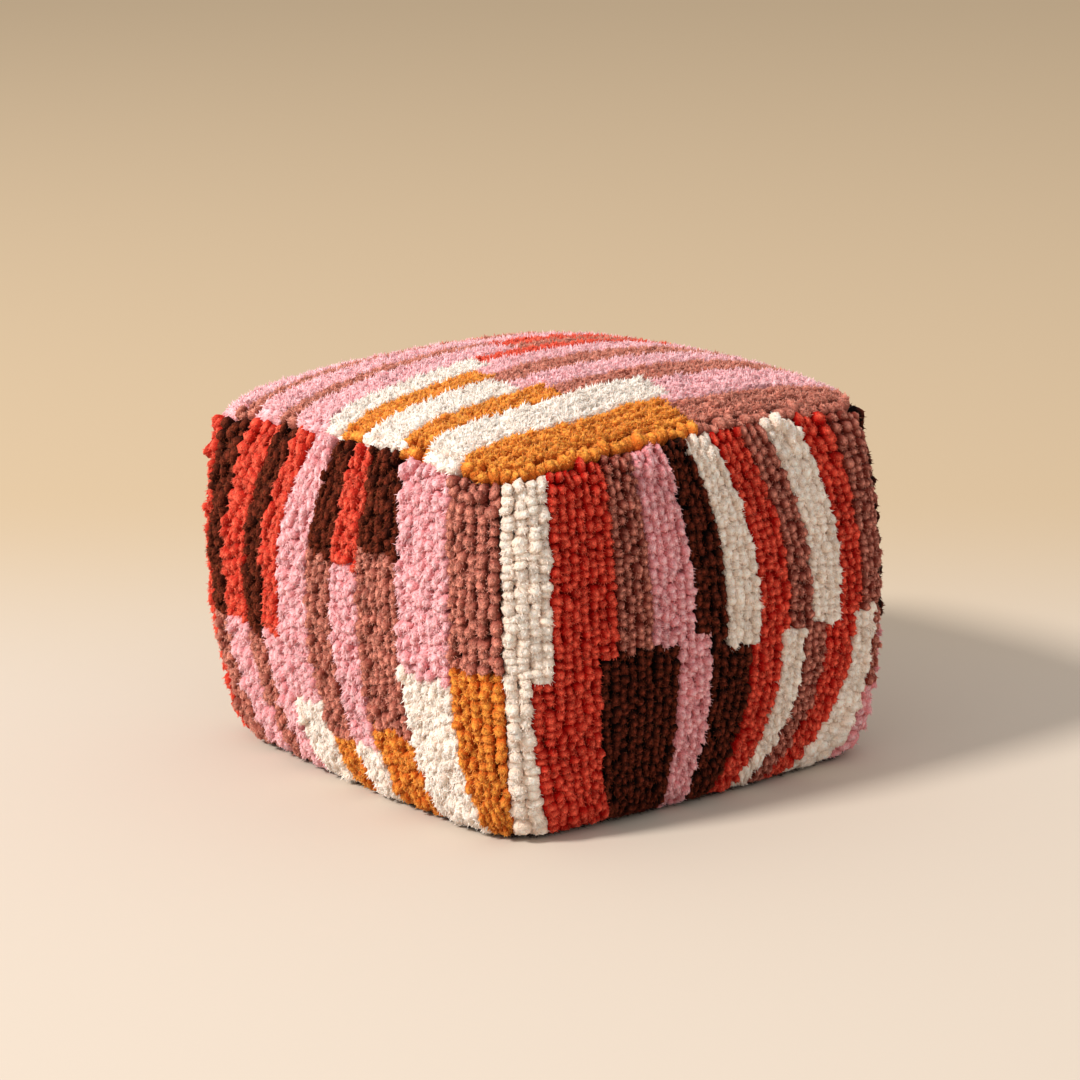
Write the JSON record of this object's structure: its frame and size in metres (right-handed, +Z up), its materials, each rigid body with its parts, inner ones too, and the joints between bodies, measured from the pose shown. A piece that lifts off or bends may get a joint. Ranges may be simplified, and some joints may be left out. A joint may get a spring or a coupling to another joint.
{
  "type": "tufted pouf",
  "caption": "Square floor pouf with a crowned top and soft sides of thick tufted wool in broken stripes, on a canvas base with a zip; a seat or footrest.",
  "frame": {"origin": "centre of the base, on the floor", "axes": "+Z up; the front panel faces -Y; +X is to its right, and the zip under the base runs along X"},
  "size_m": [0.5098, 0.5098, 0.3749],
  "materials": {
    "wool_pile": "thick cut and looped wool pile in stripes of pink, rose, coral, ochre, cream and brown",
    "backing_cloth": "plain woven cotton, natural",
    "seam_tape": "narrow herringbone cotton tape",
    "base_canvas": "dark brown cotton canvas",
    "zip_tape": "dark brown knitted tape",
    "zip_metal": "antiqued brass",
    "liner_cotton": "thin bleached cotton",
    "wadding": "lofty white polyester wadding",
    "foam": "open-cell upholstery foam"
  },
  "bodies": {
    "pouf": {"top_panel": "wool_pile", "front_panel": "wool_pile", "right_panel": "wool_pile", "back_panel": "wool_pile", "left_panel": "wool_pile", "top_backing": "backing_cloth", "front_backing": "backing_cloth", "right_backing": "backing_cloth", "back_backing": "backing_cloth", "left_backing": "backing_cloth", "top_seam_tape": "seam_tape", "base_seam_tape": "seam_tape", "corner_seam_tapes": "seam_tape", "base_front_half": "base_canvas", "base_rear_half": "base_canvas", "zip_tape_front": "zip_tape", "zip_tape_rear": "zip_tape", "zip_teeth_front": "zip_metal", "zip_teeth_rear": "zip_metal", "zip_top_stops": "zip_metal", "zip_bottom_stop": "zip_metal", "liner_top": "liner_cotton", "liner_wall": "liner_cotton", "liner_base": "liner_cotton", "wadding_top": "wadding", "wadding_wall": "wadding", "wadding_base": "wadding", "foam_core": "foam"},
    "slider": {"zip_slider": "zip_metal"},
    "pull": {"zip_pull_tab": "zip_metal"}
  },
  "joints": [
    {"name": "zip_slide", "type": "slide", "parent": "pouf", "child": "slider", "axis": [1, 0, 0], "range_m": [-0.32, 0], "deforming": ["zip_teeth_front", "zip_teeth_rear"]},
    {"name": "pull_hinge", "type": "hinge", "parent": "slider", "child": "pull", "pos_m": [0.16405, 0, 0.0049], "axis": [0, -1, 0], "range_deg": [0, 120]}
  ]
}
